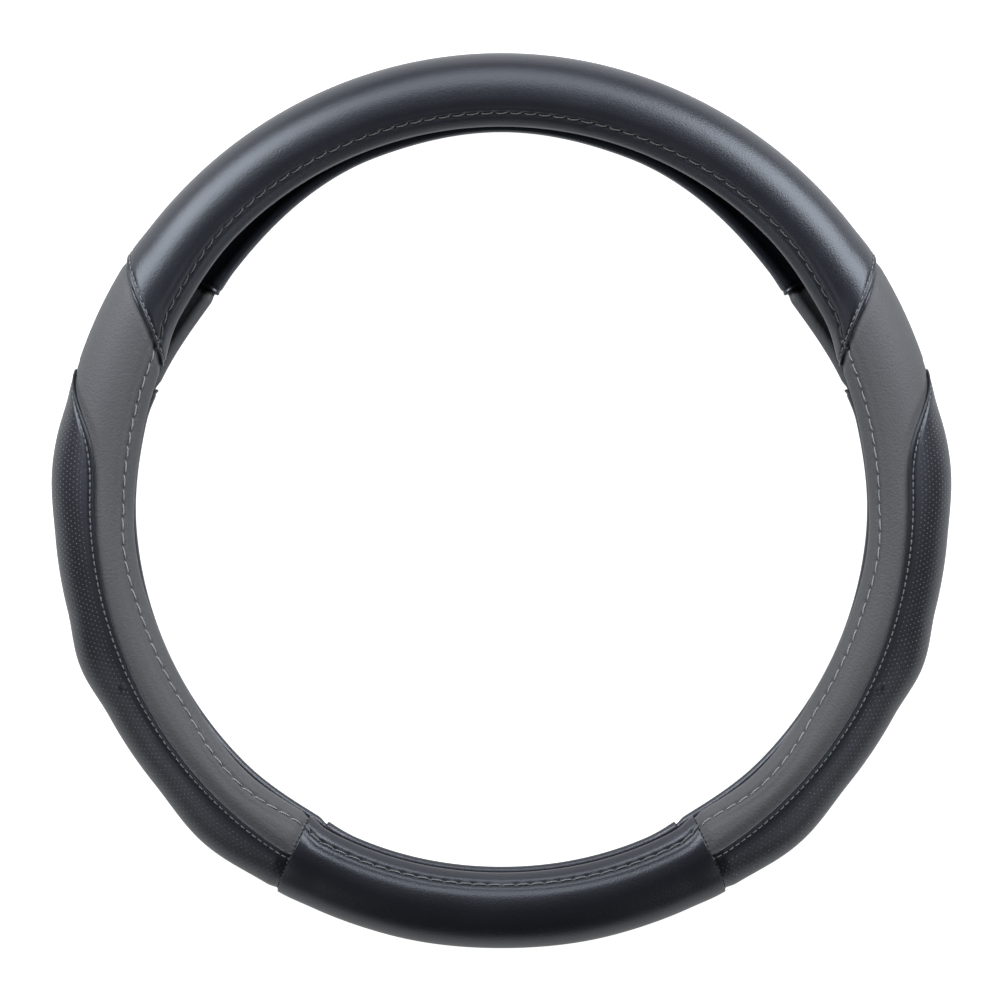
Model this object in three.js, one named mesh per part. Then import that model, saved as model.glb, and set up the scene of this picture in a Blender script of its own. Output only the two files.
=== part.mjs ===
// A slip-on cover for a car's steering wheel, in millimetres and degrees.
//
// The cover is a moulded rubber ring with a C-shaped section, dressed in six cut panels of
// leatherette that lap over each other at their seams. It lies on its back: +Z points out of
// the face that the driver sees, and +Y to the top of the wheel. Angles round the ring run
// clockwise from the top, and the left half mirrors the right one. Angles round the tube, its
// girth, start at the side nearest the ring's centre, pass over the face at 90 and the outer
// edge at 180, and come back over the rear at 270.

import * as THREE from "three";
import { mergeVertices } from "three/addons/utils/BufferGeometryUtils.js";

const { degToRad, radToDeg, clamp, lerp, smoothstep } = THREE.MathUtils;

// The ring
const RING_RADIUS = 175.8; // from the ring's centre to the middle of the tube, at the sides
const RING_EXTRA = 1.2; // how much further that is at the top and bottom
const TUBE_RADIUS = 17.6; // to the face of the leatherette
const SKIN = 1.1; // thickness of the leatherette
const RUBBER = 2.4; // wall of the moulded ring
const SEAT = 0.35; // between pieces that touch

// The two lips of the slit, and the leatherette that is turned in over them and sewn down
const HEM = 6.8; // from a lip to its row of stitches
const TURN_IN = 8.4; // leatherette inside the channel
const STITCH_DIP = 0.6; // how far the stitches pull the leatherette down
const DIP_HALF = 2.4; // half the width of that dip
const LIP_MIN_GIRTH = 22; // a lip that reaches further in than this flares instead
const FLARE_LENGTH = 17; // along the girth, from the lip to where the flare ends

// How far each lip stops short of the tube's innermost point, by angle round the ring
const FRONT_LIP = [[0, 2.5], [45, 3.4], [60, 2.1], [69, 0], [80, 0], [98, 1.6],
  [117, 0.4], [137, 2.6], [148, 1.2], [152, 2.5], [180, 1.8]];
const BACK_LIP = [[0, 1.1], [20, 0], [54, -5.2], [78, 0.2], [95, 1.3], [135, 1.2],
  [149, 0], [154, 0.8], [180, 0.2]];

// How much fuller the rubber is on the outer edge, by angle, and its swells for the fingers
const FULLNESS = [[0, 0], [74, 0], [82, 1.2], [148, 1.2], [165, 0.6], [180, 0]];
const SWELLS = [
  { at: 86, half: 9, height: 1.3 },
  { at: 111.5, half: 7.5, height: 2.3 },
  { at: 139, half: 10, height: 2.4 },
];

// Seams across the tube. `edge` is where one crosses the outer edge, and `front` and `back`
// are how much further round it has run by the time that it reaches each lip.
const TOP_LINE = { edge: 0, front: 0, back: 0, bow: 1 };
const TOP_SEAM = { edge: 56.8, front: 11.6, back: -2.6, bow: 1.4 };
const SIDE_SEAM = { edge: 72.8, front: 0, back: -0.7, bow: 1 };
const BOTTOM_SEAM = { edge: 150.2, front: -1.5, back: 1.5, bow: 1 };
const BOTTOM_LINE = { edge: 180, front: 0, back: 0, bow: 1 };
const SEAMS = [TOP_LINE, TOP_SEAM, SIDE_SEAM, BOTTOM_SEAM, BOTTOM_LINE];

// The long seam, which leaves the side seam at the outer edge and sweeps on to the face
const SWEEP_LENGTH = 16; // angle round the ring
const SWEEP_BOW = 2.4;
const SWEEP_GIRTH = 88; // where it then runs on along the face
const SWEEP_DRIFT = 6; // how much it has moved out again at the bottom seam

// Laps. The upper panel of a seam lies on the lower one, and comes down past its edge.
const LAP = 4;
const RAMP = 3;

// Ribs moulded in the channel, which grip the wheel
const RIB_COUNT = 7;
const RIB_PITCH = 29; // girth
const RIB_HEIGHT = 0.8;

// How finely the surfaces are cut
const TOP_CUTS = 8;
const SHOULDER_CUTS = 2;
const SWEEP_CUTS = 5;
const FLANK_CUTS = 8;
const BOTTOM_CUTS = 4;
const GIRTH_CUTS = 11;
const FOLD_CUTS = 3;
const REST_HALF_GIRTH = 8.6; // half of the flat that the rear has at its lowest
const NARROWEST = 1; // a cell that would be narrower than this is left out

const STEP = SKIN + SEAT; // from one layer to the next
const LIP = 2 * STEP + RUBBER; // full thickness of a lip
const RUN = LAP + SEAT + RAMP; // from the edge of an upper panel to where it is down
const OUTER_EDGE = 180;
const REAR = 270;
const MM_PER_DEGREE = degToRad(TUBE_RADIUS);

// Value of a table of [angle, value] pairs, eased from one to the next
function eased(table, angle) {
  const a = Math.abs(angle);
  const next = Math.max(1, table.findIndex(([at]) => at >= a));
  const [from, low] = table[next - 1];
  const [to, high] = table[next];
  return lerp(low, high, smoothstep(a, from, to));
}

// A smooth bump of height 1, a given half-width wide
function bump(x, half) {
  return Math.abs(x) < half ? Math.cos((Math.PI / 2) * (x / half)) ** 2 : 0;
}

// Places on the girth are given in millimetres from the outer edge, along the tube's surface:
// below zero over the face to the front lip, above zero over the rear to the back lip.
function girthAt(along) {
  return OUTER_EDGE + along / MM_PER_DEGREE;
}

function alongAt(girth) {
  return (girth - OUTER_EDGE) * MM_PER_DEGREE;
}

// Girth of a lip's edge from the tube's innermost point, and how far it flares out of the tube
function lipShape(table, angle) {
  const middle = TUBE_RADIUS - LIP / 2;
  const reach = middle - eased(table, angle);
  const girth = Math.max(radToDeg(Math.acos(clamp(reach / middle, -1, 1))), LIP_MIN_GIRTH);
  const flare = Math.max(0, reach / Math.cos(degToRad(girth)) - middle);
  return { girth, flare };
}

function frontLip(angle) {
  const { girth, flare } = lipShape(FRONT_LIP, angle);
  return { along: alongAt(girth), flare };
}

function backLip(angle) {
  const { girth, flare } = lipShape(BACK_LIP, angle);
  return { along: alongAt(360 - girth), flare };
}

// The swells fade out over the face and over the rear, short of the flat there
function swell(along, angle) {
  const share = bump(girthAt(along) - OUTER_EDGE, REAR - REST_HALF_GIRTH - OUTER_EDGE);
  const heights = SWELLS.map((s) => s.height * bump(Math.abs(angle) - s.at, s.half));
  return share * heights.reduce((sum, height) => sum + height, eased(FULLNESS, angle));
}

// Radius of the tube with its flared lips, as the channel has it
function plainRadius(along, angle) {
  const front = frontLip(angle);
  const back = backLip(angle);
  const nearFront = 1 - smoothstep(along - front.along, 0, FLARE_LENGTH);
  const nearBack = 1 - smoothstep(back.along - along, 0, FLARE_LENGTH);
  return TUBE_RADIUS + front.flare * nearFront + back.flare * nearBack;
}

// The same with the swells and the rows of stitches, as the leatherette's face has it
function faceRadius(along, angle) {
  const front = bump(along - frontLip(angle).along - HEM, DIP_HALF);
  const back = bump(backLip(angle).along - along - HEM, DIP_HALF);
  return plainRadius(along, angle) + swell(along, angle) - STITCH_DIP * (front + back);
}

// A point from its place in the section: how far out from the tube's middle, and how high
function inRing(out, height, angle) {
  const a = degToRad(angle);
  const radius = RING_RADIUS + RING_EXTRA * Math.cos(a) ** 4 + out;
  return new THREE.Vector3(radius * Math.sin(a), radius * Math.cos(a), height);
}

function inTube(girth, radius, angle) {
  const g = degToRad(girth);
  return inRing(-radius * Math.cos(g), radius * Math.sin(g), angle);
}

function onOutside(along, angle, depth) {
  return inTube(girthAt(along), faceRadius(along, angle) - depth, angle);
}

function inChannel(along, angle, depth) {
  return inTube(girthAt(along), plainRadius(along, angle) - LIP + depth, angle);
}

// Round the edge of a lip, from the outside at turn 0 to the channel at turn 1
function onLip(end, turn, angle, depth) {
  const front = end === "front";
  const { along } = front ? frontLip(angle) : backLip(angle);
  const g = degToRad(girthAt(along));
  const arm = LIP / 2 - depth;
  const radius = plainRadius(along, angle) - LIP / 2 + arm * Math.cos(Math.PI * turn);
  const past = (front ? -arm : arm) * Math.sin(Math.PI * turn);
  const out = -radius * Math.cos(g) + past * Math.sin(g);
  return inRing(out, radius * Math.sin(g) + past * Math.cos(g), angle);
}

// Columns run round the ring. Each knows its place on the girth, and its turn over a lip. Its
// nominal place, where the rows cross it, doesn't wander with the lips.
function fromFrontLip(x, turn = 0) {
  const nominal = frontLip(90).along + x;
  const along = (angle) => frontLip(angle).along + x;
  return { end: "front", turn, nominal: () => nominal, along };
}

function fromBackLip(x, turn = 0) {
  const nominal = backLip(90).along - x;
  const along = (angle) => backLip(angle).along - x;
  return { end: "back", turn, nominal: () => nominal, along };
}

function atGirth(girth, turn = 0) {
  const along = () => alongAt(girth);
  return { turn, nominal: along, along };
}

// Columns from a to b in equal shares, without a and b themselves
function between(a, b, cuts) {
  return Array.from({ length: cuts - 1 }, (_, i) => {
    const shared = (key) => (angle, r) =>
      lerp(a[key](angle, r), b[key](angle, r), (i + 1) / cuts);
    return { turn: 0, nominal: shared("nominal"), along: shared("along") };
  });
}

// The same columns, up to or from an edge that crosses them, where they run on along it
function cropped(columns, edge, side) {
  return columns.map((column) => {
    const isPast = (angle, r) =>
      side * (column.along(angle, r) - edge.along(angle, r)) < NARROWEST;
    const either = (key) => (angle, r) => (isPast(angle, r) ? edge : column)[key](angle, r);
    return { turn: 0, nominal: either("nominal"), along: either("along") };
  });
}

// Columns over the edge of a lip, in the order in which the section runs there
const frontFold = Array.from({ length: FOLD_CUTS - 1 }, (_, i) =>
  fromFrontLip(0, 1 - (i + 1) / FOLD_CUTS));
const backFold = Array.from({ length: FOLD_CUTS - 1 }, (_, i) =>
  fromBackLip(0, (i + 1) / FOLD_CUTS));
const frontHem = [TURN_IN, 0].map((x) => fromFrontLip(x, 1));
const backHem = [0, TURN_IN].map((x) => fromBackLip(x, 1));
const frontFlange = [0, HEM - DIP_HALF, HEM, HEM + DIP_HALF].map((x) => fromFrontLip(x));
const backFlange = [HEM + DIP_HALF, HEM, HEM - DIP_HALF, 0].map((x) => fromBackLip(x));
const frontEdge = [...frontHem, ...frontFold, ...frontFlange];
const backEdge = [...backFlange, ...backFold, ...backHem];
const rest = [atGirth(REAR - REST_HALF_GIRTH), atGirth(REAR + REST_HALF_GIRTH)];
const middle = between(frontFlange.at(-1), rest[0], GIRTH_CUTS);
const rear = [...rest, ...between(rest[1], backFlange[0], 2)];
const wholeGirth = [...frontEdge, ...middle, ...rear, ...backEdge];

// Where a seam runs at a place on the girth
function seamAngle(seam, along) {
  const lip = along < 0 ? frontLip(90).along : backLip(90).along;
  const further = along < 0 ? seam.front : seam.back;
  return seam.edge + further * clamp(along / lip, 0, 1) ** seam.bow;
}

// Rows run across the tube. Each is so many millimetres past a seam, which `mark` counts from
// the top, or at a share of the way to the next. A row may lift the panel that is made with
// it by a layer. Its options say where the long seam's lap is trimmed off and lies flat.
function row(mark, shift = 0, options = {}) {
  return { side: 1, mark, shift, lift: 0, trimmed: false, flat: false, ...options };
}

function rowsBetween(a, b, cuts) {
  return Array.from({ length: cuts + 1 }, (_, i) =>
    row(lerp(a.mark, b.mark, i / cuts), lerp(a.shift, b.shift, i / cuts)));
}

function mirrored(rows) {
  return rows.map((r) => ({ ...r, side: -r.side })).reverse();
}

function rowAngle({ side, mark, shift }, along) {
  const low = Math.min(Math.floor(mark), SEAMS.length - 2);
  const [from, to] = [seamAngle(SEAMS[low], along), seamAngle(SEAMS[low + 1], along)];
  return side * (lerp(from, to, mark - low) + radToDeg(shift / RING_RADIUS));
}

const [TOP_MARK, SIDE_MARK, BOTTOM_MARK] = [1, 2, 3];
const raised = { lift: 1 };
const topRows = rowsBetween(row(0), row(TOP_MARK, -RUN), TOP_CUTS);
const shoulderRows = rowsBetween(row(TOP_MARK), row(SIDE_MARK), SHOULDER_CUTS);
const sweepEnd = row(SIDE_MARK, degToRad(SWEEP_LENGTH) * RING_RADIUS);
const sweepRows = Array.from({ length: SWEEP_CUTS }, (_, i) =>
  row(SIDE_MARK, lerp(RUN, sweepEnd.shift, (i / SWEEP_CUTS) ** 1.5)));
const flankRows = [
  ...sweepRows,
  ...rowsBetween(sweepEnd, row(BOTTOM_MARK, -2 * RAMP), FLANK_CUTS),
  row(BOTTOM_MARK, -RAMP, { trimmed: true }),
];
const underBottom = [0, LAP].map((x) => row(BOTTOM_MARK, x, { trimmed: true, flat: true }));
const bottomRows = rowsBetween(row(BOTTOM_MARK, RUN), row(SEAMS.length - 1), BOTTOM_CUTS);

// The long seam's place on the girth
function sweepAlong(angle) {
  const a = Math.abs(angle) - SIDE_SEAM.edge;
  const share = clamp(a / SWEEP_LENGTH, 0, 1);
  const drift = SWEEP_DRIFT * smoothstep(a, SWEEP_LENGTH, BOTTOM_SEAM.edge - SIDE_SEAM.edge);
  const inward = (OUTER_EDGE - SWEEP_GIRTH) * (1 - (1 - share) ** SWEEP_BOW);
  return alongAt(OUTER_EDGE - inward + drift);
}

function fromSweep(x, lift = 0) {
  const along = (angle) => sweepAlong(angle) + x;
  return { turn: 0, lift, nominal: along, along };
}

// The lower panel's edge at the long seam. Just short of the bottom seam it is trimmed back,
// because three layers would be too thick to sew.
function underSweep() {
  const along = (angle, { trimmed }) => sweepAlong(angle) + (trimmed ? -SEAT : LAP);
  return { turn: 0, nominal: along, along };
}

function pointAt(column, r, depth) {
  const angle = rowAngle(r, column.nominal(rowAngle(r, 0), r));
  const along = column.along(angle, r);
  const lifted = depth - STEP * Math.max(r.lift, r.flat ? 0 : column.lift ?? 0);
  if (column.turn === 0) return onOutside(along, angle, lifted);
  if (column.turn === 1) return inChannel(along, angle, lifted);
  return onLip(column.end, column.turn, angle, lifted);
}

// A closed surface, with no doubled corners and none of the cells that an edge has closed up
function solid(points, triangles) {
  const loose = new THREE.BufferGeometry().setFromPoints(points);
  loose.setIndex(triangles);
  const merged = mergeVertices(loose.toNonIndexed());
  const kept = [];
  for (let i = 0; i < merged.index.count; i += 3) {
    const [a, b, c] = merged.index.array.slice(i, i + 3);
    if (a !== b && b !== c && c !== a) kept.push(a, b, c);
  }
  return merged.setIndex(kept);
}

// Triangles of a grid's cells, cut on the right half as the mirror image of the left one. A
// cell that the piece doesn't have is left out.
function cellTriangles(grid, wide, rows, has = () => true) {
  const triangles = [];
  for (let i = 0; i < grid.length; i += 6) {
    const [column, cell] = [(i / 6) % wide, Math.floor(i / 6 / wide)];
    const [a, b, d] = grid.slice(i, i + 3);
    const c = grid.slice(i + 3, i + 6).find((corner) => corner !== b && corner !== d);
    const onRight = rows[cell + 1].side > 0;
    if (has(column, cell))
      triangles.push(...(onRight ? [[a, b, c], [a, c, d]] : [[a, b, d], [b, c, d]]));
  }
  return triangles;
}

// A cut panel, laid on the ring: its face, its underside and the cut edge all round
function panel(columns, rows, has = () => true) {
  const corners = [0, SKIN].flatMap((depth) =>
    rows.flatMap((r) => columns.map((column) => pointAt(column, r, depth))));
  const under = columns.length * rows.length;
  const sheet = new THREE.PlaneGeometry(1, 1, columns.length - 1, rows.length - 1);
  const face = cellTriangles(sheet.index.array, columns.length - 1, rows, has);
  const sides = face.flatMap(([a, b, c]) => [[a, b], [b, c], [c, a]]);
  const directed = new Set(sides.map(String));
  const rim = sides.filter(([a, b]) => !directed.has(String([b, a])));
  return solid(corners, [
    ...face.flat(),
    ...face.flatMap(([a, b, c]) => [c + under, b + under, a + under]),
    ...rim.flatMap(([a, b]) => [b, a, a + under, b, a + under, b + under]),
  ]);
}

// The moulded ring: a section turned on a lathe, whose corners then go to their own places
function mouldedRing() {
  const ribs = Array.from({ length: 2 * RIB_COUNT - 1 }, (_, i) => {
    const girth = OUTER_EDGE + (RIB_PITCH / 2) * (RIB_COUNT - 1 - i);
    return { ...atGirth(girth, 1), rib: i % 2 === 0 ? RIB_HEIGHT : 0 };
  });
  const section = [...frontFold, ...frontFlange, ...middle, ...rear, ...backFlange,
    ...backFold, ...backHem, ...ribs, ...frontHem];
  const half = [...topRows, ...shoulderRows, ...flankRows, row(BOTTOM_MARK), ...bottomRows];
  const around = [...mirrored(half), ...half.slice(1)];
  const outline = [...section, section[0]].map((_, i) => new THREE.Vector2(1, i));
  const lathe = new THREE.LatheGeometry(outline, around.length - 1);
  const uv = lathe.getAttribute("uv");
  const corners = Array.from({ length: uv.count }, (_, i) => {
    const r = around[Math.round(uv.getX(i) * (around.length - 1)) % (around.length - 1)];
    const column = section[Math.round(uv.getY(i) * section.length) % section.length];
    return pointAt(column, r, STEP - (column.rib ?? 0));
  });
  return solid(corners, cellTriangles(lathe.index.array, section.length, around).flat());
}

function topPanel() {
  const half = [...topRows, row(TOP_MARK, -LAP - SEAT, raised), row(TOP_MARK, 0, raised)];
  return panel(wholeGirth, [...mirrored(half), ...half.slice(1)]);
}

function bottomPanel() {
  const half = [row(BOTTOM_MARK, 0, raised), row(BOTTOM_MARK, LAP + SEAT, raised),
    ...bottomRows];
  return panel(wholeGirth, [...half, ...mirrored(half).slice(1)]);
}

// Rows of a side panel on the right, or the same ones on the left
function onSide(side, rows) {
  return side > 0 ? rows : mirrored(rows);
}

// Goes right round the tube at the shoulder, and on as a strip along the face
function greyPanel(side) {
  const edge = underSweep();
  const front = [...frontEdge, ...cropped(middle, edge, -1)];
  const behind = [...cropped(middle, edge, 1), ...rear, ...backEdge];
  const shoulder = [row(TOP_MARK, -LAP), ...shoulderRows, row(SIDE_MARK, LAP)];
  const strip = [...flankRows, ...underBottom];
  const rows = onSide(side, [...shoulder, ...strip]);
  const isShoulder = (cell) =>
    side > 0 ? cell < shoulder.length - 1 : cell >= strip.length;
  return panel([...front, edge, ...behind], rows,
    (column, cell) => column < front.length || isShoulder(cell));
}

function gripPanel(side) {
  const lapped = [fromSweep(0, 1), fromSweep(LAP + SEAT, 1), fromSweep(RUN)];
  const columns = [...lapped, ...cropped(middle, lapped.at(-1), 1), ...rear, ...backEdge];
  const rows = [row(SIDE_MARK, 0, raised), row(SIDE_MARK, LAP + SEAT, raised), ...flankRows,
    ...underBottom];
  return panel(columns, onSide(side, rows));
}

function leatherette(name, color, roughness) {
  return new THREE.MeshStandardMaterial({ name, color, roughness, metalness: 0 });
}

const black = leatherette("black leatherette", 0x23252c, 0.42);
const grey = leatherette("grey leatherette", 0x55575b, 0.6);
const perforated = leatherette("perforated leatherette", 0x202228, 0.45);
const rubber = new THREE.MeshStandardMaterial({ name: "rubber", color: 0x121212, roughness: 0.85 });

const cover = new THREE.Group();
cover.name = "steering_wheel_cover";

function add(name, geometry, material) {
  const mesh = new THREE.Mesh(geometry, material);
  mesh.name = name;
  cover.add(mesh);
}

add("moulded_ring", mouldedRing(), rubber);
add("top_panel", topPanel(), black);
add("bottom_panel", bottomPanel(), black);
for (const [name, side] of [["left", -1], ["right", 1]]) {
  add(`${name}_grey_panel`, greyPanel(side), grey);
  add(`${name}_grip_panel`, gripPanel(side), perforated);
}

cover.position.z = -new THREE.Box3().setFromObject(cover).min.z;

export default cover;
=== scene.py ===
# Looks of a slip-on steering wheel cover, laid out as a Blender add-on. Lengths inside the
# functions are millimetres and angles are degrees, as in the part's own drawing: angles round
# the ring run clockwise from the top, and places on the girth of the tube are counted along its
# surface from the outer edge, below zero over the face and above zero over the rear.

from math import pi, radians, sin, cos

import bmesh
import bpy
import numpy as np
from bpy.props import FloatProperty, FloatVectorProperty, PointerProperty
from bpy.types import Operator, Panel, PropertyGroup
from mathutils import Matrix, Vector
from mathutils.kdtree import KDTree


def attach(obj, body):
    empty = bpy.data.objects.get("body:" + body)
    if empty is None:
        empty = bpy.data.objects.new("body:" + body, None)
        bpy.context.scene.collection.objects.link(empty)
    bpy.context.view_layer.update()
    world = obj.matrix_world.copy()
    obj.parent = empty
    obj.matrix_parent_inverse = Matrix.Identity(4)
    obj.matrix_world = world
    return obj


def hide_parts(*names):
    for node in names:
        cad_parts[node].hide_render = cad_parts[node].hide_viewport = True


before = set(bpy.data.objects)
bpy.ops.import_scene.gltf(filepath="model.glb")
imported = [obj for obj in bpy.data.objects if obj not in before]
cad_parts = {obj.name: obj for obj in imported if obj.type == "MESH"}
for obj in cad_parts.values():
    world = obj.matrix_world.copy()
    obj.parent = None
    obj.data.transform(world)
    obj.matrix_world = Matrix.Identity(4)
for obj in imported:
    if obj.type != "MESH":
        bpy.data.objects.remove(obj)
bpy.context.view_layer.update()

bl_info = {
    "name": "Steering Wheel Cover",
    "version": (1, 0, 0),
    "blender": (4, 5, 0),
    "location": "3D View > Sidebar > Cover",
    "description": "Dresses a steering wheel cover in leatherette, thread and rubber",
    "category": "Object",
}

# The ring and its layers
RING_RADIUS = 175.8
RING_EXTRA = 1.2
TUBE_RADIUS = 17.6
SKIN = 1.1
RUBBER = 2.4
SEAT = 0.35
STEP = SKIN + SEAT
LIP = 2 * STEP + RUBBER
MM_PER_DEGREE = radians(TUBE_RADIUS)
MM_ROUND = radians(RING_RADIUS)
REST_HALF_GIRTH = 8.6
REST = (TUBE_RADIUS + STEP) * cos(radians(REST_HALF_GIRTH))

# The lips, and the hems that are sewn down over them
HEM = 6.8
TURN_IN = 8.4
STITCH_DIP = 0.6
DIP_HALF = 2.4
CREASE = 10.4
CREASE_HALF = 2.6
LIP_MIN_GIRTH = 22
FLARE_LENGTH = 17
FRONT_LIP = ((0, 2.5), (45, 3.4), (60, 2.1), (69, 0), (80, 0), (98, 1.6),
             (117, 0.4), (137, 2.6), (148, 1.2), (152, 2.5), (180, 1.8))
BACK_LIP = ((0, 1.1), (20, 0), (54, -5.2), (78, 0.2), (95, 1.3), (135, 1.2),
            (149, 0), (154, 0.8), (180, 0.2))

# The fuller outer edge, and its swells for the fingers: angle, half-width and height
FULLNESS = ((0, 0), (74, 0), (82, 1.2), (148, 1.2), (165, 0.6), (180, 0))
SWELLS = ((86, 9, 1.3), (111.5, 7.5, 2.3), (139, 10, 2.4))
SWELL_HALF = 81.4

# Seams across the tube: edge, further at the front lip, further at the back lip, and bow
SEAMS = np.array(((0, 0, 0, 1), (56.8, 11.6, -2.6, 1.4), (72.8, 0, -0.7, 1),
                  (150.2, -1.5, 1.5, 1), (180, 0, 0, 1)), float)
TOP_MARK, SIDE_MARK, BOTTOM_MARK = 1, 2, 3
SIDE_EDGE, BOTTOM_EDGE = SEAMS[SIDE_MARK, 0], SEAMS[BOTTOM_MARK, 0]

# The long seam
SWEEP_LENGTH = 16
SWEEP_BOW = 2.4
SWEEP_GIRTH = 88
SWEEP_DRIFT = 6

# Laps. The seam is sewn down tight, so the lower panel and the rubber sink under it, and the
# upper panel comes down slowly from its folded edge.
LAP = 4
RUN = 7.35
SINK = 0.9
SINK_REACH = 5
LAP_HEIGHT = STEP - SINK
LAP_FADE = 15
SEAM_DIP = 0.32
SEAM_ROLL = 0.16

# The bottom seams are sewn at the very edge, with short stitches that reach past it
EDGE_SEAM = -0.3
EDGE_PITCH = 2.1

# A long stitch at a lip sags toward the lip and slants across its row. On the grey and at the
# bottom the leatherette is pulled tighter, and the stitches lie straighter.
SAG = 0.55
TIGHT_SAG = 0.15
SLANT = 0.28
TIGHT_SLANT = 0.12

# A small dent in each grip: place on the girth, angle, half-width and depth
DENT = (-20.9, 116.5, 2.6, 1.1)

# Ribs in the channel
RIB_PITCH = 29
RIB_HEIGHT = 0.8
RIB_REACH = 101.5

# The perforation: from the back lip to its first row of holes, from one hole to the next across
# the tube, and the shortest edge in metres that leaves room for a hole
HOLE_START = 9.2
HOLE_PITCH = 1.75
HOLE_ROOM = 0.0009

# How wide and how deep in metres a stitch draws the face in where it goes through
LIP_PULL = (0.00095, 0.0005)
SEAM_PULL = (0.0007, 0.0003)
PULL_REACH = 2.5

# The share of its pitch that a stitch covers to each side of its middle, its thickness as a
# share of the thread's, and how it arches over the face and goes under at its ends
LIP_SHARE, SEAM_SHARE, EDGE_SHARE = 0.46, 0.4, 0.28
LIP_THREAD, SEAM_THREAD = 1.05, 0.9
ARCH, DIVE = 0.75, 1.9
THREAD_FLAT = 0.8
THREAD_SIDES = 8
THREAD_STEPS = 9

# How many rows and columns the stretches of the meshes are cut into
TOP_ROWS, BOTTOM_ROWS, SHOULDER_ROWS, STRIP_ROWS, HOLE_ROWS = 148, 72, 44, 196, 218
GIRTH_COLUMNS, GREY_COLUMNS, HOLE_COLUMNS = 60, 40, 38
RING_ROWS = (48, 14, 66, 26)
OUTSIDE_COLUMNS, CHANNEL_COLUMNS = 36, 72
MERGE = 2e-6

# The camera, in metres: its distance, and the width of the picture at the cover
CAMERA_FAR = 2.1
PICTURE_WIDTH = 0.4348
SENSOR = 36

# Lamps: azimuth, tilt from straight above, distance and width in metres, and power
LAMPS = (("left_softbox", -49, 57, 0.65, 0.48, 5.0),
         ("right_softbox", 49, 57, 0.65, 0.48, 5.0),
         ("top_softbox", 0, 56, 0.65, 0.42, 1.6),
         ("lower_left_fill", -130, 62, 1.0, 0.6, 1.2),
         ("lower_right_fill", 130, 62, 1.0, 0.6, 1.2))
DAYLIGHT = (0.93, 0.96, 1.0)
COOL_SHEEN = (0.86, 0.91, 1.0)

STITCH_ROWS = ("front_lip", "back_lip", "left_top_seam", "right_top_seam", "left_grip_seam",
               "right_grip_seam", "left_bottom_seam", "right_bottom_seam")


def smoothstep(x, low, high):
    t = np.clip((x - low) / (high - low), 0, 1)
    return t * t * (3 - 2 * t)


def eased(table, angle):
    at, value = np.array(table, float).T
    a = np.abs(angle)
    i = np.clip(np.searchsorted(at, a), 1, len(at) - 1)
    return value[i - 1] + (value[i] - value[i - 1]) * smoothstep(a, at[i - 1], at[i])


def bump(x, half):
    return np.cos(pi / 2 * np.clip(x / half, -1, 1)) ** 2


def along_at(girth):
    return (girth - 180) * MM_PER_DEGREE


def girth_at(along):
    return 180 + along / MM_PER_DEGREE


def lip_shape(table, angle):
    middle = TUBE_RADIUS - LIP / 2
    reach = middle - eased(table, angle)
    girth = np.degrees(np.arccos(np.clip(reach / middle, -1, 1)))
    girth = np.maximum(girth, LIP_MIN_GIRTH)
    return girth, np.maximum(0, reach / np.cos(np.radians(girth)) - middle)


def front_lip(angle):
    girth, flare = lip_shape(FRONT_LIP, angle)
    return along_at(girth), flare


def back_lip(angle):
    girth, flare = lip_shape(BACK_LIP, angle)
    return along_at(360 - girth), flare


def swell(along, angle):
    height = eased(FULLNESS, angle)
    for at, half, tall in SWELLS:
        height = height + tall * bump(np.abs(angle) - at, half)
    return bump(girth_at(along) - 180, SWELL_HALF) * height


def plain_radius(along, angle):
    front, front_flare = front_lip(angle)
    back, back_flare = back_lip(angle)
    return (TUBE_RADIUS + front_flare * (1 - smoothstep(along - front, 0, FLARE_LENGTH))
            + back_flare * (1 - smoothstep(back - along, 0, FLARE_LENGTH)))


def relief(along, angle):
    """Swells, less the dips at the stitches and the soft crease past them"""
    crease = bpy.context.scene.cover_sizes.crease * 1000
    low = 0
    for x in (along - front_lip(angle)[0], back_lip(angle)[0] - along):
        low = low + STITCH_DIP * bump(x - HEM, DIP_HALF) + crease * bump(x - CREASE, CREASE_HALF)
    place_at, angle_at, half, deep = DENT
    away = np.hypot(along - place_at, (np.abs(angle) - angle_at) * MM_ROUND)
    return swell(along, angle) - low - deep * bump(away, half)


def seam_angle(mark, along):
    """Where the seam of a mark, counted from the top, runs at a place on the girth"""
    edge, front, back, bow = np.moveaxis(SEAMS[mark], -1, 0)
    lip = np.where(along < 0, front_lip(90)[0], back_lip(90)[0])
    further = np.where(along < 0, front, back)
    return edge + further * np.clip(along / lip, 0, 1) ** bow


def sweep_along(angle):
    a = np.abs(angle) - SIDE_EDGE
    share = np.clip(a / SWEEP_LENGTH, 0, 1)
    drift = SWEEP_DRIFT * smoothstep(a, SWEEP_LENGTH, BOTTOM_EDGE - SIDE_EDGE)
    return along_at(180 - (180 - SWEEP_GIRTH) * (1 - (1 - share) ** SWEEP_BOW) + drift)


def lapped(distance):
    return LAP_HEIGHT * (distance > -0.01) * (1 - smoothstep(distance, 1.5, LAP_FADE))


def sunk(distance):
    """How far a lower panel has sunk, so far inside the upper one's edge"""
    return SINK * smoothstep(distance, -SINK_REACH, 0) * (1 - smoothstep(distance, LAP, LAP + 3))


def dipped(distance):
    """The roll of the fold, and then the dip along its stitches"""
    dip = SEAM_DIP * bump(distance - seam_inset(), 1.4)
    return (dip - SEAM_ROLL * bump(distance - 0.9, 0.9)) * (distance > 0)


def seam_inset():
    return bpy.context.scene.cover_sizes.seam_inset * 1000


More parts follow.
